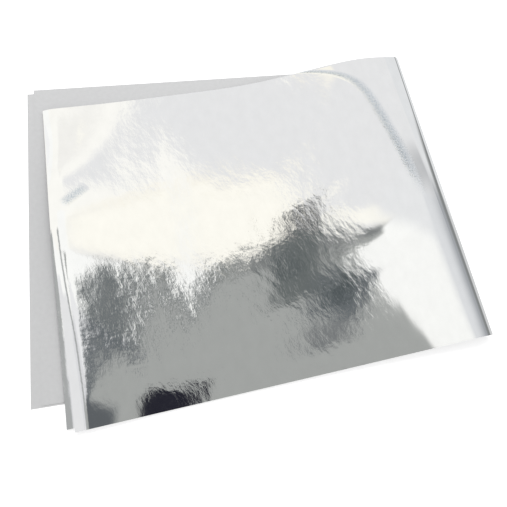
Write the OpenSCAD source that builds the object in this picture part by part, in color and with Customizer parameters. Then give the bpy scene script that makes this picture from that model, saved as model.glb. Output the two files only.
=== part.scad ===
// Two sheets of foil-faced paper, one laid inside the other and folded in half together.
// The foil is outside the fold and the grey paper inside it. The fold is soft: it is tight at
// its near end and opens into a loose loop at its far end.
//
// The lower half lies on the ground, +X runs to the fold and +Y along it, away from the near end.
// The origin is the middle of the face that the lower half lies on. Sizes are in millimetres.

/* [Sheets] */
// Width of the outer sheet, along the fold
sheet_w = 400; // [300:1:520]
// Length of the outer sheet, from cut edge to cut edge before it is folded
sheet_l = 1032; // [960:1:1200]
// Thickness of the foil-faced paper
paper_t = 0.2; // [0.15:0.05:0.4]
// Air between the two sheets
layer_gap = 0.2; // [0.1:0.05:0.4]

/* [Inner sheet] */
// How far its lower cut edge stands back from the outer one, at the near corner
back_near = 11; // [2:0.5:25]
// How far its lower cut edge stands back at the far corner
back_far = 8; // [2:0.5:25]
// How far its upper cut edge stands out past the outer one, at the near corner
out_near = 8.3; // [1:0.1:25]
// How far its upper cut edge stands out at the far corner
out_far = 0.6; // [0.5:0.1:25]
// How far its near edge stands in from the outer one, at the lower cut edge
in_lower = 2; // [0.5:0.1:8]
// How far its near edge stands in at the upper cut edge
in_upper = 4.5; // [0.5:0.1:8]
// How far its far edge stands past the outer one, at the lower cut edge
past_lower = 5.5; // [1:0.1:15]
// How far its far edge stands past at the upper cut edge
past_upper = 0.5; // [0.5:0.1:15]
// How much of the outer sheet's curl it follows
inner_follow = 0.4; // [0:0.05:0.9]

/* [Fold] */
// Distance from the lower cut edge to the fold, at the near end
fold_x = 532; // [440:1:600]
// Angle by which the fold runs off square, in degrees
fold_skew = 1.77; // [-3:0.01:3]
// Radius of the bend at the near end
near_bend_r = 7; // [5:0.1:9]
// Radius of the bend at the far end
far_bend_r = 12.6; // [9.5:0.1:18]
// Air between the two halves where the upper one lies down
rest_air = 1.5; // [0.6:0.1:4]

/* [Loop] */
// Radius of the crest at the near end
near_crest_r = 90; // [60:1:140]
// Radius of the crest at the far end, where the loop is widest
far_crest_r = 315; // [200:1:400]
// How close to the far end the crest's radius grows
crest_power = 4; // [2:0.5:8]
// Height that the crest adds to the bend's own at the near end
near_rise = 1.4; // [0.8:0.1:2.5]
// Height that the crest adds at the far end
far_rise = 4.2; // [2.5:0.1:6]
// Angle at which the paper comes down again at the near end, in degrees
near_fall_angle = 4; // [3.5:0.1:7]
// Angle at which it comes down at the far end, in degrees
far_fall_angle = 10.7; // [8:0.1:16]
// Share of the way down that the curve at the foot takes, at the near end
near_foot_share = 0.8; // [0.5:0.05:0.9]
// Share of the way down that it takes at the far end
far_foot_share = 0.5; // [0.3:0.05:0.6]

/* [Free edge] */
// Height that the upper cut edge curls up at its corners
corner_curl = 4.3; // [3:0.1:10]
// Height that it curls up where it is highest
highest_curl = 17; // [3:0.1:20]
// Place of the highest curl along the edge, from 0 at the near corner to 1 at the far one
curl_place = 0.57; // [0.3:0.01:0.7]
// How far the curl reaches in from the cut edge
curl_reach = 140; // [60:1:160]
// Height by which the very edge turns down again
edge_droop = 2.5; // [0:0.1:2.8]
// How far that droop reaches in from the cut edge
droop_reach = 16; // [8:1:40]

/* [Hidden] */

bend_steps = 12;
crest_steps = 6;
foot_steps = 6;
rest_steps = 10;
row_steps = 26;
// How much closer together the rows stand at the far edge, where the loop opens fastest
row_crowding = 0.75;
// A row of the inner sheet keeps at least this far from its own near edge
row_room = 1;

OUTER = 0;
INNER = 1;

// Height of the foil face where the upper half lies down: four layers and the air between them
rest_h = 4 * paper_t + 2 * layer_gap + rest_air;

function mix(a, b, share) = a + (b - a) * share;
// Place along the fold, from 0 at the near end to 1 at the far end
function along(y) = max(0, min(1, y / sheet_w));
// Direction from the centre of a bend to the point where the paper has turned by an angle
function spoke(turn) = [sin(turn), -cos(turn)];

function bend_r(w) = mix(near_bend_r, far_bend_r, w);
function crest_r(w) = mix(near_crest_r, far_crest_r, pow(w, crest_power));
// Angle at which the paper still climbs as it leaves the bend, and at which it comes down
function climb(w) = acos(1 - mix(near_rise, far_rise, w * w) / crest_r(w));
function fall(w) = mix(near_fall_angle, far_fall_angle, w * w);
function foot_share(w) = mix(near_foot_share, far_foot_share, w * w);

// The section across the fold is a chain of arcs. Each point is [t, z]: t is the distance past
// the fold, less than zero on both halves, and z is the height.
function bend_centre(w) = [-bend_r(w), bend_r(w)];
function crest_centre(w) = bend_centre(w) - (crest_r(w) - bend_r(w)) * spoke(180 - climb(w));
function crest_end(w) = crest_centre(w) + crest_r(w) * spoke(180 + fall(w));
function fall_h(w) = crest_end(w)[1] - rest_h;
function foot_r(w) = foot_share(w) * fall_h(w) / (1 - cos(fall(w)));
function foot_centre(w) = [
    crest_end(w)[0] - (1 - foot_share(w)) * fall_h(w) / tan(fall(w)) - foot_r(w) * sin(fall(w)),
    rest_h + foot_r(w)
];

// Length of paper that the loop takes up beyond its length in plan
function loop_length(w) =
    PI / 180 * (bend_r(w) * (180 - climb(w)) + crest_r(w) * (climb(w) + fall(w))
        + foot_r(w) * fall(w)) + (1 - foot_share(w)) * fall_h(w) / sin(fall(w));
function take_up(w) = loop_length(w) - bend_r(w) + foot_centre(w)[0];
plan_l = sheet_l - take_up(0.5);

// Distance past the fold of a point of the lower half, and of the outer sheet's upper cut edge
function lower_t(x, y) = (x - fold_x) * cos(fold_skew) + y * sin(fold_skew);
function upper_edge_t(y) = -lower_t(plan_l, y);

// Height of the curl at a distance in from the upper cut edge
function edge_curl(w) =
    mix(corner_curl, highest_curl, pow(sin(180 * pow(w, ln(0.5) / ln(curl_place))), 2));
function curl(inset, w) =
    edge_curl(w) * pow(max(0, 1 - inset / curl_reach), 1.5)
    - edge_droop * pow(max(0, 1 - inset / droop_reach), 2);

// A point of the section is [t, z, run], for a face that lies h above the foil side of the outer
// sheet. The run is the distance past the fold along the paper as seen in plan: it is less than
// zero on the lower half and more on the upper one.
function bend_points(w, h) = [
    for (i = [0:bend_steps])
        let (turn = i / bend_steps * (180 - climb(w)))
        let (at = bend_centre(w) + (bend_r(w) - h) * spoke(turn))
        let (foil_t = bend_centre(w)[0] + bend_r(w) * sin(turn))
        [at[0], at[1], turn < 90 ? foil_t : -foil_t]
];
function crest_points(w, h) = [
    for (i = [1:crest_steps])
        let (turn = mix(180 - climb(w), 180 + fall(w), i / crest_steps))
        let (at = crest_centre(w) + (crest_r(w) - h) * spoke(turn))
        [at[0], at[1], -at[0]]
];
function foot_points(end, w, h, follow) = [
    for (i = [0:foot_steps])
        let (turn = mix(180 + fall(w), 180, i / foot_steps))
        let (at = foot_centre(w) - (foot_r(w) + h) * spoke(turn))
        [at[0], at[1] + follow * curl(at[0] - end, w), -at[0]]
];
function rest_points(end, w, h, follow) = [
    for (i = [1:rest_steps])
        let (t = mix(end, foot_centre(w)[0], pow(1 - i / rest_steps, 2)))
        [t, rest_h - h + follow * curl(t - end, w), -t]
];

// One row of points across the fold, from the lower cut edge round to the upper one
function section(sheet, y, h) =
    let (w = along(y))
    let (end = upper_edge_t(y))
    let (start = lower_t(sheet == OUTER ? 0 : mix(back_near, back_far, w), y))
    let (follow = sheet == OUTER ? 1 : inner_follow)
    let (inner_end = end - mix(out_near, out_far, w))
    concat(
        [[start, h, start]],
        bend_points(w, h),
        crest_points(w, h),
        foot_points(end, w, h, follow),
        rest_points(end, w, h, follow),
        sheet == OUTER ? [] : [[inner_end, rest_h - h + follow * curl(0, w), -inner_end]]
    );

// Turns a point of the section into a place in space. A row is square to the cut edge on the
// lower half, and runs back at twice the skew on the upper one. The row may also slant: it is
// given by its y at the lower cut edge and at the upper one.
function in_space(point, row) =
    let (y = mix(row[0], row[1], (point[2] + fold_x) / plan_l))
    let (q = y / cos(fold_skew) - point[2] * tan(fold_skew))
    [
        fold_x / 2 + point[0] * cos(fold_skew) - q * sin(fold_skew),
        point[0] * sin(fold_skew) + q * cos(fold_skew) - sheet_w / 2,
        point[1]
    ];

// Rows across the fold. Both sheets share the rows between the inner sheet's own two edges.
shared_rows = [
    for (i = [0:row_steps])
        let (y = sheet_w * mix(i / row_steps, sin(90 * i / row_steps), row_crowding))
        [y, y]
];
inner_rows = concat(
    [[in_lower, in_upper]],
    [for (row = shared_rows) if (row[0] > max(in_lower, in_upper) + row_room) row],
    [[sheet_w + past_lower, sheet_w + past_upper]]
);

// Closes a foil face and a paper face, given as rows of points, into one thin solid
module paper_sheet(foil_face, paper_face) {
    row_count = len(foil_face);
    column_count = len(foil_face[0]);
    face_size = row_count * column_count;
    function foil(i, j) = i * column_count + j;
    function paper(i, j) = face_size + foil(i, j);
    function split(a, b, c, d) = [[a, b, c], [a, c, d]];
    faces = concat(
        [for (i = [0:row_count - 2], j = [0:column_count - 2])
            each split(foil(i, j), foil(i, j + 1), foil(i + 1, j + 1), foil(i + 1, j))],
        [for (i = [0:row_count - 2], j = [0:column_count - 2])
            each split(paper(i + 1, j + 1), paper(i, j + 1), paper(i, j), paper(i + 1, j))],
        [for (j = [0:column_count - 2])
            each split(foil(0, j), paper(0, j), paper(0, j + 1), foil(0, j + 1))],
        [for (j = [0:column_count - 2], i = row_count - 1)
            each split(foil(i, j), foil(i, j + 1), paper(i, j + 1), paper(i, j))],
        [for (i = [0:row_count - 2])
            each split(foil(i, 0), foil(i + 1, 0), paper(i + 1, 0), paper(i, 0))],
        [for (i = [0:row_count - 2], j = column_count - 1)
            each split(foil(i, j), paper(i, j), paper(i + 1, j), foil(i + 1, j))]
    );
    polyhedron(points = [for (row = concat(foil_face, paper_face)) each row], faces = faces);
}

// Folds a sheet whose foil face lies a height above the ground
module folded(sheet, rows, under) {
    function face(h) = [
        for (row = rows) [for (point = section(sheet, mix(row[0], row[1], 0.5), h)) in_space(point, row)]
    ];
    paper_sheet(face(under), face(under + paper_t));
}

module outer_sheet() {
    color("silver") folded(OUTER, shared_rows, 0);
}

module inner_sheet() {
    color("gainsboro") folded(INNER, inner_rows, paper_t + layer_gap);
}

outer_sheet();
inner_sheet();
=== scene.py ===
"""Two sheets of foil-faced paper, laid one in the other and folded softly in half, on a white floor."""
from math import acos, cos, log, pi, radians, sin, tan

import bmesh
import bpy
import numpy as np
from mathutils import Matrix, Vector, noise


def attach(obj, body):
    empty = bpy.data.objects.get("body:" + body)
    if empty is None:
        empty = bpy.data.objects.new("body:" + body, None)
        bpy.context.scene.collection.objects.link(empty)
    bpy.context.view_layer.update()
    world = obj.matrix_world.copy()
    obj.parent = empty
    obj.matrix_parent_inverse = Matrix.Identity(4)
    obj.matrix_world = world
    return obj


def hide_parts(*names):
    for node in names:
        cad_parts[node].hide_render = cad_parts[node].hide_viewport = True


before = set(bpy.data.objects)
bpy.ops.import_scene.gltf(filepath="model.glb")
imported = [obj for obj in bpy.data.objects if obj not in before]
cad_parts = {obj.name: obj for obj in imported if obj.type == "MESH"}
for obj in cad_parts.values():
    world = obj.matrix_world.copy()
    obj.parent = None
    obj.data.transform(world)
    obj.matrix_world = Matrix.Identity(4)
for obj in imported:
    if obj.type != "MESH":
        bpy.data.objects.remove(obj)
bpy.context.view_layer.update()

MM = 0.001

# Sheets, as they are cut: +X runs to the fold and +Y along it
SHEET_W = 400 * MM
SHEET_L = 1032 * MM
PAPER_T = 0.2 * MM
LAYER_GAP = 0.2 * MM

# Inner sheet: how far its lower cut edge stands back from the outer one's, and its upper one out
# past it, at the near end and at the far one
BACK_NEAR, BACK_FAR = 11 * MM, 8 * MM
OUT_NEAR, OUT_FAR = 8.3 * MM, 0.6 * MM
# How far its near edge stands in and its far edge out, at the lower cut edge and at the upper one
IN_LOWER, IN_UPPER = 2 * MM, 4.5 * MM
PAST_LOWER, PAST_UPPER = 5.5 * MM, 0.5 * MM
# Share of the outer sheet's curl that it follows
INNER_FOLLOW = 0.4

# Fold: its distance from the lower cut edge and its skew, the air left between the halves, and
# how high the foil of the upper half lies over the table
FOLD_X = 532 * MM
FOLD_SKEW = radians(1.77)
REST_AIR = 1.5 * MM
REST_H = 4 * PAPER_T + 2 * LAYER_GAP + REST_AIR
# Loop round the fold: each value at its near and far ends, and the power by which it changes
# where that isn't straight
BEND_R = (7 * MM, 12.6 * MM)
CREST_R, CREST_POWER = (90 * MM, 315 * MM), 4
CREST_RISE, RISE_POWER = (1.4 * MM, 4.2 * MM), 2
FALL, FALL_POWER = (radians(4), radians(10.7)), 2
# How long the fall is held before the foot at the far end, as a share of the foot
HELD_FALL, HELD_POWER = 0.35, 4
# Lengths of the bend and the crest against plain arcs, how softly they join, and how much more
# paper than the flat plan the loop takes up, in the mean
BEND_STRETCH, CREST_STRETCH, EASE = 1.146, 0.928, 0.6
TAKE_UP = 12.0 * MM
FOOT_STEPS = 200

# Free edge: the curl's height at the corners and at its highest, where that is, and its reach
CORNER_CURL, HIGHEST_CURL, CURL_PLACE = 4.3 * MM, 17 * MM, 0.57
CURL_REACH, CURL_POWER = 140 * MM, 1.5
EDGE_DROOP, DROOP_REACH = 2.5 * MM, 16 * MM

# Gentle waves of the upper half: length across the fold, length along it, height, and seed
WAVES = (
    (110 * MM, 150 * MM, 0.35 * MM, 3.7),
    (38 * MM, 60 * MM, 0.07 * MM, 11.2),
)
# How far past the start of the bend they begin, and have their full height
WAVES_FROM, WAVES_FULL = 10 * MM, 110 * MM

# Foil: each kind of wrinkle by its size across the fold and along it, and its height
WISP_SIZE, WISP_H = (1.8 * MM, 5.5 * MM), 0.019 * MM
DIMPLE_SIZE, DIMPLE_H = (9 * MM, 15 * MM), 0.17 * MM
SWELL_SIZE, SWELL_H = (40 * MM, 60 * MM), 0.5 * MM
CRACKLE_SIZE, CRACKLE_H = (1.6 * MM, 2.2 * MM), 0.5 * MM
# How far the wrinkles lean as they run along the fold, and how sharp the wisps are
WRINKLE_LEAN, RIDGE_POWER = 0.3, 2.0
# The foil is drawn smooth beside the fold, and a little by the free edge and the near edge
SMOOTH_TO, ROUGH_FROM, SMOOTH_SHARE = 110 * MM, 170 * MM, 0.03
ROUGH_TO, EDGE_FROM, EDGE_SHARE = 395 * MM, 445 * MM, 0.28
NEAR_SMOOTH, NEAR_SHARE = (4 * MM, 34 * MM), 0.25
# The crinkle, bumped and with a painted dark reflection, starts beside the fold, sweeps away from it and
# hooks outward at the far edge
CRINKLE_START, CRINKLE_HALF = 26 * MM, 11 * MM
CRINKLE_SWEEP, SWEEP_POWER = 64 * MM, 2.0
CRINKLE_HOOK, HOOK_POWER = 60 * MM, 25
# It fades in between these shares of the width
CRINKLE_FROM, CRINKLE_FULL = 0.45, 0.62
# A small crushed spot by the free edge, with a painted dark reflection on it
CRUSHED_AND_PAINTED_SPOT_AT, CRUSHED_AND_PAINTED_SPOT_HALF, CRUSHED_AND_PAINTED_SPOT_TURN = (475 * MM, 268 * MM), (15 * MM, 4.5 * MM), radians(-38)
# Foil's look: its mottle, and its brighter and duller patches
FOIL_DARK, FOIL_LIGHT = (0.86, 0.865, 0.862, 1), (0.94, 0.945, 0.942, 1)
FOIL_MOTTLE_SIZE = 13 * MM, 20 * MM
PATCH_SIZE, PATCH_SPAN = (30 * MM, 60 * MM), (0.3, 0.7)
BRIGHT_ROUGHNESS, DULL_ROUGHNESS = 0.02, 0.05
# Crushed foil: the colour of its painted dark reflection, and how much of that shows, which is less
# where the crackle is high
PAINTED_REFLECTION_COLOUR = (0.48, 0.55, 0.61, 1)
PAINTED_SPECKLE_SPAN, PAINTED_SPECKLE_SHARE = (0.35, 0.6), (0.8, 0.35)

# Paper: its mottle, its fibres and its dull shine
PAPER_DARK, PAPER_LIGHT = (0.59, 0.592, 0.595, 1), (0.66, 0.662, 0.665, 1)
PAPER_MOTTLE_SIZE = 5 * MM, 5 * MM
FIBRE_SIZE, FIBRE_H, FIBRE_STRENGTH = (0.6 * MM, 0.6 * MM), 0.05 * MM, 0.4
PAPER_ROUGHNESS, PAPER_SPECULAR = 0.85, 0.3

# Mesh: columns on the lower half, round the bend and on the upper half, and rows along the fold
LOWER_COLUMNS, BEND_COLUMNS, UPPER_COLUMNS = 30, 44, 166
COLUMNS = LOWER_COLUMNS + BEND_COLUMNS + UPPER_COLUMNS
ROWS = 170
# How much paper the columns of the bend cover, the steps in which the loop is laid out, and the
# angle from which an edge stays sharp
BEND_SPAN = 44 * MM
STEP = 0.5 * MM
SHARP_EDGE = radians(40)

# Camera: its place and its turns, and its sensor and lens in millimetres
CAMERA_PLACE = Vector((-85.7, -233.8, 532.0)) * MM
CAMERA_HEADING, CAMERA_TILT, CAMERA_ROLL = radians(-24.99), radians(20), radians(16.61)
SENSOR, LENS = 36, 32.66

# Studio, lamp and floor: the floor is lifted a little for the camera and the foil
WHITE = (1.0, 1.0, 1.0)
WORLD_LEVEL = 0.63
LAMP_PLACE, LAMP_SIZE, LAMP_WATTS = Vector((0.3, 1.6, 1.8)), 1.6, 35
FLOOR_SIZE, FLOOR_COLOUR, FLOOR_LIFT = 6.0, (0.8, 0.8, 0.8, 1), 0.55

# Screen overhead: its height and width, and the colours of it and of several cards
SCREEN_H, SCREEN_SIZE = 1.5, 3.5
SCREEN_COLOUR = (0.865, 0.865, 0.875)
WINDOW, WARM_WINDOW = (1.05, 1.05, 1.03), (1.06, 1.045, 1.0)
CREAM, FRINGE = (1.08, 1.055, 0.975), (1.03, 0.98, 0.87)
# Cards on the screen overhead: centre and half size in metres, turn in degrees, softness of the
# edge, and colour. A later card hides those before it.
CARDS = (
    ("side window", (-2.0, 1.6), (1.5, 1.4), 0, 0.03, WINDOW),
    ("upper window", (-0.742, 1.046), (0.5, 0.585), 38, 0.02, WARM_WINDOW),
    ("middle window", (-0.37, 0.5), (0.25, 0.37), 0, 0.02, WINDOW),
    ("fringe", (0.1, 0.66), (0.16, 0.23), 0, 0.05, FRINGE),
    ("warm card", (0.05, 0.63), (0.19, 0.21), 0, 0.09, CREAM),
    ("warm peak", (0.3, 0.63), (0.17, 0.035), -62, 0.025, CREAM),
    ("sky card", (0.385, 0.79), (0.12, 0.28), 23, 0.02, SCREEN_COLOUR),
    ("upper sky card", (0.2, 0.95), (0.12, 0.1), 0, 0.03, SCREEN_COLOUR),
    ("warm edge", (0.52, 0.455), (0.14, 0.03), -32, 0.02, CREAM),
    ("lower spot", (0.42, 0.62), (0.03, 0.025), 0, 0.02, CREAM),
    ("window shoulder", (-0.31, 1.34), (0.1, 0.09), 38, 0.05, WARM_WINDOW),
    ("cream corner", (-0.42, 1.45), (0.12, 0.1), -38, 0.05, (0.98, 0.965, 0.93)),
    ("corner spot", (-0.39, 1.39), (0.03, 0.012), -20, 0.012, CREAM),
    ("low ceiling", (0.05, -0.45), (0.75, 0.83), 0, 0.03, (0.4, 0.41, 0.4)),
    ("edge window", (-0.7, 0.16), (0.25, 0.22), 0, 0.02, WINDOW),
    ("foot window", (-1.15, -0.1), (0.5, 0.17), 0, 0.02, (0.85, 0.85, 0.86)),
    ("low window", (-0.247, 0.257), (0.12, 0.2), -28.2, 0.01, WINDOW),
    ("lower window", (-0.388, 0.024), (0.1, 0.13), -49.7, 0.01, (0.9, 0.9, 0.91)),
    ("lowest window", (-0.64, -0.11), (0.08, 0.19), -73.3, 0.015, (0.78, 0.78, 0.8)),
    ("ragged slate", (0.02, 0.385), (0.05, 0.04), 25, 0.02, (0.25, 0.26, 0.25)),
    ("second ragged slate", (0.14, 0.4), (0.035, 0.07), -30, 0.02, (0.2, 0.21, 0.21)),
    ("tongue", (0.31, 0.51), (0.05, 0.11), 20, 0.012, (0.12, 0.125, 0.13)),
    ("slate", (0.29, 0.31), (0.11, 0.17), 0, 0.02, (0.15, 0.165, 0.165)),
    ("deep slate", (0.23, 0.33), (0.035, 0.08), 20, 0.02, (0.1, 0.115, 0.12)),
    ("light streak", (0.4, 0.33), (0.018, 0.13), 5, 0.015, (0.36, 0.37, 0.36)),
    ("white card", (0.779, 0.049), (0.15, 0.35), 24.6, 0.01, (1.03, 1.03, 1.01)),
    ("white finger", (0.68, 0.35), (0.09, 0.06), 24.6, 0.01, WINDOW),
    ("pale card", (0.85, 0.43), (0.25, 0.17), -37, 0.04, (0.87, 0.875, 0.885)),
    ("wedge", (0.44, 0.39), (0.065, 0.045), -28, 0.015, (0.24, 0.25, 0.25)),
    ("wedge tip", (0.53, 0.375), (0.04, 0.014), -15, 0.01, (0.22, 0.23, 0.23)),
    ("right slate", (0.44, 0.12), (0.12, 0.11), -22, 0.02, (0.14, 0.155, 0.165)),
    ("deep right slate", (0.43, 0.15), (0.06, 0.05), 10, 0.02, (0.09, 0.105, 0.11)),
    ("low slate", (0.37, -0.06), (0.08, 0.07), 0, 0.03, (0.2, 0.21, 0.215)),
    ("far wall", (2.21, -0.12), (1.3, 0.8), 10, 0.03, (0.78, 0.79, 0.81)),
    ("brushed card", (1.27, 0.7), (0.4, 0.1), 17, 0.08, (0.61, 0.615, 0.625)),
    ("wall dusk", (2.75, -0.05), (1.3, 0.85), 8, 0.5, (0.42, 0.435, 0.46)),
    ("inner card", (-0.645, 0.19), (0.05, 0.46), 3.5, 0.03, (0.42, 0.43, 0.43)),
    ("side slate", (-0.135, 0.182), (0.02, 0.2), -32, 0.01, (0.16, 0.175, 0.18)),
    ("side foot", (-0.345, -0.067), (0.014, 0.16), -49.7, 0.01, (0.14, 0.155, 0.165)),
    ("dark foot", (0.0, -0.77), (0.55, 0.535), 0, 0.012, (0.08, 0.08, 0.085)),
    ("dark corner", (-0.42, -0.195), (0.09, 0.045), -10, 0.02, (0.12, 0.13, 0.14)),
    ("black card", (-0.165, -0.192), (0.085, 0.042), -6, 0.01, (0.02, 0.02, 0.03)),
)
# Cards of the studio round the screen: the same, with places and sizes in degrees from overhead
RING_CARDS = (
    ("left wall", (-82, 0), (26, 50), 0, 9, (0.55, 0.56, 0.57)),
    ("back wall", (0, 84), (75, 22), 0, 9, (0.62, 0.625, 0.635)),
    ("front wall", (0, -84), (75, 22), 0, 9, (0.55, 0.56, 0.57)),
    ("upper wall", (60, 45), (38, 22), 0, 4, (0.82, 0.83, 0.845)),
    ("far wall", (38, -18), (16, 40), 0, 4, (0.4, 0.415, 0.44)),
    ("white foot", (78, -18), (24, 40), 0, 2, (0.68, 0.685, 0.69)),
    ("wall foot", (52.5, 10), (2.5, 80), 0, 2, (0.25, 0.26, 0.26)),
)


def mix(a, b, share):
    return a + (b - a) * share


def ease(x, softness=1.0):
    """From 0 to 1 as x does, with soft ends."""
    x = np.clip(x, 0, 1)
    return mix(x, x * x * (3 - 2 * x), softness)


def loop_section(w):
    """The paper's way round the loop at a place w along the fold, from the start of the bend to
    the foot of the upper half: distance along the paper, t past the fold, height and heading."""
    bend_r = mix(*BEND_R, w)
    crest_r = mix(*CREST_R, w**CREST_POWER)
    climb = acos(1 - mix(*CREST_RISE, w**RISE_POWER) / crest_r)
    fall = mix(*FALL, w**FALL_POWER)
    held = HELD_FALL * w**HELD_POWER
    bend_l = BEND_STRETCH * bend_r * (pi - climb)
    crest_l = CREST_STRETCH * crest_r * (climb + fall)

    def walk(foot_l, length):
        """The way along the paper for a foot of one length, as far as another."""
        along = np.linspace(0, length, int(length / STEP) + 2)
        middle = (along[1:] + along[:-1]) / 2
        past_crest = middle - bend_l - crest_l
        heading = (pi - climb) * ease(middle / bend_l, EASE)
        heading += (climb + fall) * ease((middle - bend_l) / crest_l, EASE)
        heading -= fall * ease((past_crest - held * foot_l) / foot_l)
        step = np.diff(along)
        t = np.r_[0, np.cumsum(np.cos(heading) * step)]
        z = np.r_[0, np.cumsum(np.sin(heading) * step)]
        return along, t, z, np.r_[0, (heading[1:] + heading[:-1]) / 2, pi]

    crest_z = walk(1, bend_l + crest_l)[2][-1]
    share = np.linspace(0, 1, FOOT_STEPS)
    foot_drop = held * sin(fall) + np.sin(fall * (1 - ease(share))).mean()
    foot_l = (crest_z - REST_H) / foot_drop
    along, t, z, heading = walk(foot_l, bend_l + crest_l + (1 + held) * foot_l)
    return along, t - t.max(), z, heading


def curl(inset, w):
    """Height of the curl at a distance in from the upper cut edge."""
    edge = mix(CORNER_CURL, HIGHEST_CURL, np.sin(pi * w ** (log(0.5) / log(CURL_PLACE))) ** 2)
    droop = EDGE_DROOP * np.clip(1 - inset / DROOP_REACH, 0, 1) ** 2
    return edge * np.clip(1 - inset / CURL_REACH, 0, 1) ** CURL_POWER - droop


def wave(along, y):
    """How far the waves raise the upper half at one point."""
    share = ease((along - WAVES_FROM) / (WAVES_FULL - WAVES_FROM))
    total = 0.0
    for across_l, along_l, height, seed in WAVES:
        total += height * noise.noise(Vector((along / across_l, y / along_l, seed)))
    return share * total


def row_points(y, start_gap, end_gap, depth, follow):
    """One row of the sheet: its points, and how far past the fold each is along the paper. The
    gaps are how far its cut edges stand back from the outer sheet's own."""
    w = min(max(y / SHEET_W, 0), 1)
    along, t, z, heading = loop_section(w)
    plan_l = SHEET_L - TAKE_UP
    start_t = -FOLD_X * cos(FOLD_SKEW) + y * sin(FOLD_SKEW)
    edge_t = -(plan_l - FOLD_X) * cos(FOLD_SKEW) - y * sin(FOLD_SKEW)
    start = start_t + start_gap - t[0]
    end = along[-1] + t[-1] - edge_t - end_gap
    stations = np.r_[
        np.linspace(start, 0, LOWER_COLUMNS + 1)[:-1],
        np.linspace(0, BEND_SPAN, BEND_COLUMNS + 1)[:-1],
        np.linspace(BEND_SPAN, end, UPPER_COLUMNS + 1),
    ]
    known = np.r_[start, along, end]
    foil_t = np.interp(stations, known, np.r_[start_t + start_gap, t, edge_t + end_gap])
    foil_z = np.interp(stations, known, np.r_[0, z, z[-1]])
    turn = np.interp(stations, known, np.r_[0, heading, pi])
    upper = stations > along[np.argmax(t)]
    run = np.where(upper, -foil_t, foil_t)
    rise = np.where(upper, follow * curl(foil_t - edge_t, w), 0)
    inward = depth - np.array([wave(station, y) for station in stations])
    at_t = foil_t - inward * np.sin(turn)
    at_z = foil_z + rise + inward * np.cos(turn)
    q = y / cos(FOLD_SKEW) - run * tan(FOLD_SKEW)
    x = FOLD_X / 2 + at_t * cos(FOLD_SKEW) - q * sin(FOLD_SKEW)
    across = at_t * sin(FOLD_SKEW) + q * cos(FOLD_SKEW) - SHEET_W / 2
    return np.stack([x, across, at_z], axis=1), stations - along[np.argmax(t)]


def add_piece(name, shape, materials):
    """Makes a finished shape an object of the scene."""
    mesh = bpy.data.meshes.new(name)
    shape.to_mesh(mesh)
    shape.free()
    for material in materials:
        mesh.materials.append(material)
    piece = bpy.data.objects.new(name, mesh)
    bpy.context.collection.objects.link(piece)
    return piece


def folded_sheet(name, depth, follow, start_gaps, end_gaps, sides, materials):
    """A sheet whose foil face lies a depth inside the outer foil face, and whose free edge follows
    a share of the curl. The gaps are those of its cut edges at the near and far ends, and the
    sides the y of its near and far edges, each at the lower and at the upper cut edge."""
    sheet = bmesh.new()
    half = 0.5
    bmesh.ops.create_grid(sheet, x_segments=COLUMNS, y_segments=ROWS, size=half)
    uv = sheet.loops.layers.uv.new("flat")
    places, flats = [], []
    for row in range(ROWS + 1):
        share = row / ROWS
        lower_y = mix(sides[0][0], sides[1][0], share)
        upper_y = mix(sides[0][1], sides[1][1], share)
        gaps = mix(start_gaps[0], start_gaps[1], share), mix(end_gaps[0], end_gaps[1], share)
        lower, stations = row_points(lower_y, *gaps, depth, follow)
        upper, _ = row_points(upper_y, *gaps, depth, follow)
        slant = ((stations - stations[0]) / (stations[-1] - stations[0]))[:, None]
        places.append(mix(lower, upper, slant))
        flats.append(list(zip(stations, mix(lower_y, upper_y, slant[:, 0]))))
    flat_of = {}
    for vertex in sheet.verts:
        column = round((vertex.co.x + half) * COLUMNS)
        row = round((vertex.co.y + half) * ROWS)
        vertex.co = places[row][column]
        flat_of[vertex] = flats[row][column]
    for face in sheet.faces:
        face.smooth = True
        for loop in face.loops:
            loop[uv].uv = flat_of[loop.vert]
    bmesh.ops.reverse_faces(sheet, faces=sheet.faces)
    foil_faces = set(sheet.faces)
    bmesh.ops.solidify(sheet, geom=list(sheet.faces), thickness=PAPER_T)
    for face in sheet.faces:
        face.material_index = 0 if face in foil_faces else 1
    for edge in sheet.edges:
        if edge.calc_face_angle(0) > SHARP_EDGE:
            edge.smooth = False
    return add_piece(name, sheet, materials)


class Nodes:
    """Adds nodes to a tree and links their inputs, given by name or place, to values or sockets."""

    def __init__(self, tree):
        self.tree = tree
        tree.nodes.clear()

    def add(self, kind, inputs=None, **settings):
        node = self.tree.nodes.new(kind)
        for setting, value in settings.items():
            setattr(node, setting, value)
        for socket, value in (inputs or {}).items():
            self.feed(node.inputs[socket], value)
        return node

    def feed(self, socket, value):
        if isinstance(value, bpy.types.NodeSocket):
            self.tree.links.new(value, socket)
        else:
            socket.default_value = value

    def math(self, operation, a, b=0.0):
        return self.add("ShaderNodeMath", {0: a, 1: b}, operation=operation).outputs[0]

    def vector(self, operation, a, b=(0, 0, 0)):
        return self.add("ShaderNodeVectorMath", {0: a, 1: b}, operation=operation).outputs[0]

    def blend(self, share, a, b):
        """A mix of two colours."""
        return self.add("ShaderNodeMix", {0: share, 6: a, 7: b}, data_type="RGBA").outputs[2]


def new_material(name):
    """A material that is still empty, and the maker of its nodes."""
    material = bpy.data.materials.new(name)
    material.use_nodes = True
    return material, Nodes(material.node_tree)


def new_group(name, inputs, outputs):
    """A node group with named sockets. Returns its nodes, its input sockets and its output node."""
    group = bpy.data.node_groups.new(name, "ShaderNodeTree")
    for socket, (kind, value) in inputs.items():
        made = group.interface.new_socket(socket, in_out="INPUT", socket_type=kind)
        made.default_value = value
    for socket, kind in outputs.items():
        group.interface.new_socket(socket, in_out="OUTPUT", socket_type=kind)
    nodes = Nodes(group)
    return group, nodes, nodes.add("NodeGroupInput").outputs, nodes.add("NodeGroupOutput")


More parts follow.
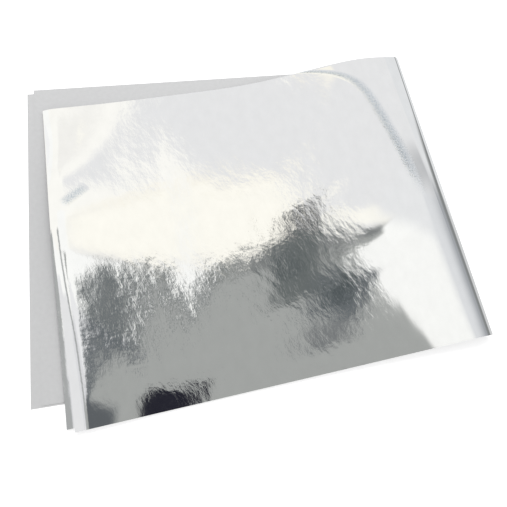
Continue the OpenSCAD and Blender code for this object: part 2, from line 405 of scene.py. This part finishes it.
def stretched_noise_group():
    """Noise in the plane of the sheet, of a given size across the fold and along it."""
    group, nodes, given, out = new_group(
        "stretched noise",
        {
            "Across": ("NodeSocketFloat", 0.01),
            "Along": ("NodeSocketFloat", 0.01),
            "Detail": ("NodeSocketFloat", 2.0),
            "Seed": ("NodeSocketFloat", 0.0),
            "Lean": ("NodeSocketFloat", 0.0),
        },
        {"Value": "NodeSocketFloat"},
    )
    flat = nodes.add("ShaderNodeUVMap", uv_map="flat").outputs["UV"]
    x, y, _ = nodes.add("ShaderNodeSeparateXYZ", {0: flat}).outputs
    across = nodes.math("SUBTRACT", x, nodes.math("MULTIPLY", y, given["Lean"]))
    across = nodes.math("DIVIDE", across, given["Across"])
    along = nodes.math("DIVIDE", y, given["Along"])
    place = nodes.add("ShaderNodeCombineXYZ", {0: across, 1: along, 2: given["Seed"]}).outputs[0]
    cloud = nodes.add("ShaderNodeTexNoise", {"Vector": place, "Scale": 1.0, "Detail": given["Detail"]})
    nodes.feed(out.inputs["Value"], cloud.outputs[0])
    return group


def noise_value(nodes, stretched_noise, size, detail, seed, lean=0.0):
    """Noise from 0 to 1, of a given size in metres across the fold and along it."""
    across, along = size
    given = {"Across": across, "Along": along, "Detail": detail, "Seed": seed, "Lean": lean}
    return nodes.add("ShaderNodeGroup", given, node_tree=stretched_noise).outputs["Value"]


def ramp(nodes, value, start, end, from_value=0.0, to_value=1.0):
    """A soft step from one value to another."""
    return nodes.add(
        "ShaderNodeMapRange",
        {0: value, 1: start, 2: end, 3: from_value, 4: to_value},
        interpolation_type="SMOOTHSTEP",
    ).outputs[0]


def ridges(nodes, value):
    """Turns soft noise into sharp creases with flat paper between them."""
    folded = nodes.math("ABSOLUTE", nodes.math("SUBTRACT", value, 0.5))
    ridge = nodes.math("SUBTRACT", 1.0, nodes.math("MULTIPLY", folded, 2.0))
    return nodes.math("POWER", ridge, RIDGE_POWER)


def soft_card_group():
    """Mask of a soft-edged card that lies in the plane of a place."""
    group, nodes, given, out = new_group(
        "soft card",
        {
            "Place": ("NodeSocketVector", (0, 0, 0)),
            "Centre": ("NodeSocketVector", (0, 0, 0)),
            "Turn": ("NodeSocketVector", (0, 0, 0)),
            "Half size": ("NodeSocketVector", (1, 1, 0)),
            "Softness": ("NodeSocketFloat", 0.1),
        },
        {"Mask": "NodeSocketFloat"},
    )
    held = nodes.add(
        "ShaderNodeMapping",
        {"Vector": given["Place"], "Location": given["Centre"], "Rotation": given["Turn"]},
        vector_type="TEXTURE",
    ).outputs[0]
    past_edge = nodes.vector("SUBTRACT", nodes.vector("ABSOLUTE", held), given["Half size"])
    x, y, _ = nodes.add("ShaderNodeSeparateXYZ", {0: past_edge}).outputs
    minus = nodes.math("MULTIPLY", given["Softness"], -1.0)

    def inside(distance):
        return nodes.add(
            "ShaderNodeMapRange", {0: distance, 1: minus, 2: given["Softness"], 3: 1.0, 4: 0.0},
            interpolation_type="SMOOTHSTEP",
        ).outputs[0]

    nodes.feed(out.inputs["Mask"], nodes.math("MULTIPLY", inside(x), inside(y)))
    return group


def card_mask(nodes, soft_card, place, centre, half, turn, softness, label=""):
    """Mask of one card, from 0 outside it to 1 on it."""
    given = {
        "Place": place,
        "Centre": (*centre, 0),
        "Turn": (0, 0, turn),
        "Half size": (*half, 0),
        "Softness": softness,
    }
    return nodes.add("ShaderNodeGroup", given, node_tree=soft_card, label=label).outputs["Mask"]


def foil_material(stretched_noise, soft_card):
    """Mirror-bright foil with fine wrinkles that run along the fold. They are faint beside the
    fold, where the paper is drawn smooth, apart from a crushed crinkle that sweeps away from it.
    The crinkle and a crushed spot also carry a painted dark reflection in the foil's colour."""
    material, nodes = new_material("silver_foil")
    flat = nodes.add("ShaderNodeUVMap", uv_map="flat").outputs["UV"]
    past_fold, along, _ = nodes.add("ShaderNodeSeparateXYZ", {0: flat}).outputs
    w = nodes.math("DIVIDE", along, SHEET_W)

    wisps = noise_value(nodes, stretched_noise, WISP_SIZE, detail=3.0, seed=1.0, lean=WRINKLE_LEAN)
    wisps = ridges(nodes, wisps)
    dimples = noise_value(
        nodes, stretched_noise, DIMPLE_SIZE, detail=2.0, seed=5.0, lean=WRINKLE_LEAN
    )
    swells = noise_value(nodes, stretched_noise, SWELL_SIZE, detail=1.0, seed=8.0)
    crackle = noise_value(nodes, stretched_noise, CRACKLE_SIZE, detail=2.0, seed=3.0)

    drawn_smooth = nodes.math(
        "MULTIPLY",
        ramp(nodes, past_fold, SMOOTH_TO, ROUGH_FROM, SMOOTH_SHARE, 1.0),
        ramp(nodes, past_fold, ROUGH_TO, EDGE_FROM, 1.0, EDGE_SHARE),
    )
    near_edge = ramp(nodes, along, *NEAR_SMOOTH, NEAR_SHARE, 1.0)
    drawn_smooth = nodes.math("MULTIPLY", drawn_smooth, near_edge)

    sweep = nodes.math("MULTIPLY", nodes.math("POWER", w, SWEEP_POWER), CRINKLE_SWEEP)
    hook = nodes.math("MULTIPLY", nodes.math("POWER", w, HOOK_POWER), CRINKLE_HOOK)
    crinkle_at = nodes.math("ADD", nodes.math("ADD", sweep, hook), CRINKLE_START)
    off_crinkle = nodes.math("ABSOLUTE", nodes.math("SUBTRACT", past_fold, crinkle_at))
    # The crinkle's mask bumps the foil and also carries a painted dark reflection in its colour
    crinkle_and_painted_reflection = nodes.math(
        "MULTIPLY",
        ramp(nodes, off_crinkle, 0.0, CRINKLE_HALF, 1.0, 0.0),
        ramp(nodes, w, CRINKLE_FROM, CRINKLE_FULL),
    )
    # A crushed spot by the free edge: bumped, and with a painted dark reflection in the foil's colour
    crushed_spot_and_painted_reflection = card_mask(
        nodes, soft_card, flat, CRUSHED_AND_PAINTED_SPOT_AT, CRUSHED_AND_PAINTED_SPOT_HALF, CRUSHED_AND_PAINTED_SPOT_TURN, CRUSHED_AND_PAINTED_SPOT_HALF[1], "crushed_spot_and_painted_reflection"
    )
    # The crinkle and the spot are bumped, and also get a painted dark reflection in the colour below
    crush_and_painted_reflection = nodes.math("MAXIMUM", crinkle_and_painted_reflection, crushed_spot_and_painted_reflection)

    height = nodes.math("MULTIPLY", wisps, WISP_H)
    height = nodes.math("ADD", height, nodes.math("MULTIPLY", dimples, DIMPLE_H))
    height = nodes.math("ADD", height, nodes.math("MULTIPLY", swells, SWELL_H))
    height = nodes.math("MULTIPLY", height, drawn_smooth)
    crushed_h = nodes.math("MULTIPLY", crush_and_painted_reflection, CRACKLE_H)
    height = nodes.math("ADD", height, nodes.math("MULTIPLY", crackle, crushed_h))
    bump = nodes.add("ShaderNodeBump", {"Strength": 1.0, "Distance": 1.0, "Height": height})

    patches = noise_value(nodes, stretched_noise, PATCH_SIZE, detail=3.0, seed=9.0)
    rough = nodes.add(
        "ShaderNodeMapRange",
        {0: patches, 1: PATCH_SPAN[0], 2: PATCH_SPAN[1], 3: BRIGHT_ROUGHNESS, 4: DULL_ROUGHNESS},
    ).outputs[0]
    mottle = noise_value(nodes, stretched_noise, FOIL_MOTTLE_SIZE, detail=4.0, seed=6.0)
    # Painted dark reflection: where the foil is crushed, a dark bluish colour is mixed into it, speckled
    # by the crackle
    painted_speckle = ramp(nodes, crackle, *PAINTED_SPECKLE_SPAN, *PAINTED_SPECKLE_SHARE)
    colour = nodes.blend(
        nodes.math("MULTIPLY", crush_and_painted_reflection, painted_speckle),
        nodes.blend(mottle, FOIL_DARK, FOIL_LIGHT),
        PAINTED_REFLECTION_COLOUR,
    )
    shader = nodes.add(
        "ShaderNodeBsdfPrincipled",
        {"Base Color": colour, "Metallic": 1.0, "Roughness": rough, "Normal": bump.outputs[0]},
    )
    nodes.add("ShaderNodeOutputMaterial", {0: shader.outputs[0]})
    return material


def paper_material(stretched_noise):
    """Matte grey paper with a faint mottle and fine fibres."""
    material, nodes = new_material("grey_paper")
    mottle = noise_value(nodes, stretched_noise, PAPER_MOTTLE_SIZE, detail=4.0, seed=2.0)
    fibres = noise_value(nodes, stretched_noise, FIBRE_SIZE, detail=3.0, seed=4.0)
    bump = nodes.add(
        "ShaderNodeBump", {"Strength": FIBRE_STRENGTH, "Distance": FIBRE_H, "Height": fibres}
    )
    shader = nodes.add(
        "ShaderNodeBsdfPrincipled",
        {
            "Base Color": nodes.blend(mottle, PAPER_DARK, PAPER_LIGHT),
            "Roughness": PAPER_ROUGHNESS,
            "Specular IOR Level": PAPER_SPECULAR,
            "Normal": bump.outputs[0],
        },
    )
    nodes.add("ShaderNodeOutputMaterial", {0: shader.outputs[0]})
    return material


def painted(nodes, soft_card, place, ground, cards):
    """Colour of a ground with the cards laid over it."""
    seen = (*ground, 1)
    for name, centre, half, turn, softness, colour in cards:
        mask = card_mask(nodes, soft_card, place, centre, half, radians(turn), softness, name)
        seen = nodes.blend(mask, seen, (*colour, 1))
    return seen


def overhead_screen(soft_card):
    """A level screen over the table that only the foil mirrors."""
    material, nodes = new_material("overhead_screen")
    material.cycles.emission_sampling = "NONE"
    place = nodes.add("ShaderNodeTexCoord").outputs["Object"]
    seen = painted(nodes, soft_card, place, SCREEN_COLOUR, CARDS)
    glow = nodes.add("ShaderNodeEmission", {"Color": seen, "Strength": 1.0}).outputs[0]
    nodes.add("ShaderNodeOutputMaterial", {0: glow})
    screen = bmesh.new()
    bmesh.ops.create_grid(screen, x_segments=1, y_segments=1, size=SCREEN_SIZE / 2)
    bmesh.ops.translate(screen, verts=screen.verts, vec=(0, 0, SCREEN_H))
    piece = add_piece("overhead_screen", screen, (material,))
    for sight in ("camera", "diffuse", "transmission", "volume_scatter", "shadow"):
        setattr(piece, "visible_" + sight, False)


def studio_world(soft_card):
    """A plain white studio. The foil mirrors its cards, and all else sees one plain level."""
    world = bpy.data.worlds.new("studio")
    bpy.context.scene.world = world
    world.use_nodes = True
    nodes = Nodes(world.node_tree)
    sight = nodes.add("ShaderNodeTexCoord").outputs["Generated"]
    x, y, z = nodes.add("ShaderNodeSeparateXYZ", {0: sight}).outputs
    level_way = nodes.vector("NORMALIZE", nodes.add("ShaderNodeCombineXYZ", {0: x, 1: y}).outputs[0])
    from_overhead = nodes.math("DEGREES", nodes.math("ARCCOSINE", z))
    place = nodes.add(
        "ShaderNodeVectorMath", {0: level_way, "Scale": from_overhead}, operation="SCALE"
    ).outputs[0]
    seen = painted(nodes, soft_card, place, WHITE, RING_CARDS)
    path = nodes.add("ShaderNodeLightPath").outputs
    mirrored = nodes.add("ShaderNodeBackground", {"Color": seen, "Strength": 1.0}).outputs[0]
    clear = nodes.math("MAXIMUM", path["Is Camera Ray"], path["Is Transmission Ray"])
    level = nodes.add(
        "ShaderNodeMapRange", {0: clear, 1: 0.0, 2: 1.0, 3: WORLD_LEVEL, 4: 1.0}
    ).outputs[0]
    plain = nodes.add("ShaderNodeBackground", {"Color": (*WHITE, 1), "Strength": level}).outputs[0]
    both = nodes.add("ShaderNodeMixShader", {0: path["Is Glossy Ray"], 1: plain, 2: mirrored}).outputs[0]
    nodes.add("ShaderNodeOutputWorld", {0: both})


def key_lamp():
    """A large soft lamp over the far side."""
    lamp = bpy.data.lights.new("key_lamp", "AREA")
    lamp.size = LAMP_SIZE
    lamp.energy = LAMP_WATTS
    piece = bpy.data.objects.new("key_lamp", lamp)
    aim = (-LAMP_PLACE).to_track_quat("-Z", "Y").to_matrix().to_4x4()
    piece.matrix_world = Matrix.Translation(LAMP_PLACE) @ aim
    piece.visible_glossy = False
    bpy.context.collection.objects.link(piece)


def white_floor():
    """A white floor that keeps the shadow. The camera and the foil see it a little brighter."""
    material, nodes = new_material("white_floor")
    path = nodes.add("ShaderNodeLightPath").outputs
    matte = nodes.add("ShaderNodeBsdfDiffuse", {"Color": FLOOR_COLOUR}).outputs[0]
    seen = nodes.math("MAXIMUM", path["Is Camera Ray"], path["Is Glossy Ray"])
    seen = nodes.math("MAXIMUM", seen, path["Is Transmission Ray"])
    lift = nodes.math("MULTIPLY", seen, FLOOR_LIFT)
    glow = nodes.add("ShaderNodeEmission", {"Color": (*WHITE, 1), "Strength": lift}).outputs[0]
    both = nodes.add("ShaderNodeAddShader", {0: matte, 1: glow}).outputs[0]
    nodes.add("ShaderNodeOutputMaterial", {0: both})
    floor = bmesh.new()
    bmesh.ops.create_grid(floor, x_segments=1, y_segments=1, size=FLOOR_SIZE / 2)
    add_piece("floor", floor, (material,))


def photo_camera():
    """The camera at the viewing angle of the main picture."""
    data = bpy.data.cameras.new("camera")
    data.sensor_width = SENSOR
    data.lens = LENS
    camera = bpy.data.objects.new("camera", data)
    camera.matrix_world = (
        Matrix.Translation(CAMERA_PLACE)
        @ Matrix.Rotation(CAMERA_HEADING, 4, "Z")
        @ Matrix.Rotation(CAMERA_TILT, 4, "X")
        @ Matrix.Rotation(CAMERA_ROLL, 4, "Z")
    )
    bpy.context.collection.objects.link(camera)
    bpy.context.scene.camera = camera


photo_camera()
bpy.context.scene.view_settings.view_transform = "Standard"
soft_card = soft_card_group()
studio_world(soft_card)
overhead_screen(soft_card)
key_lamp()
white_floor()

stretched_noise = stretched_noise_group()
foil = foil_material(stretched_noise, soft_card)
paper = paper_material(stretched_noise)
outer = folded_sheet(
    "outer_foil_sheet",
    depth=0,
    follow=1,
    start_gaps=(0, 0),
    end_gaps=(0, 0),
    sides=((0, 0), (SHEET_W, SHEET_W)),
    materials=(foil, paper),
)
inner = folded_sheet(
    "inner_foil_sheet",
    depth=PAPER_T + LAYER_GAP,
    follow=INNER_FOLLOW,
    start_gaps=(BACK_NEAR, BACK_FAR),
    end_gaps=(-OUT_NEAR, -OUT_FAR),
    sides=((IN_LOWER, IN_UPPER), (SHEET_W + PAST_LOWER, SHEET_W + PAST_UPPER)),
    materials=(foil, paper),
)

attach(outer, "root")
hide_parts("outer_sheet")
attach(inner, "root")
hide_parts("inner_sheet")
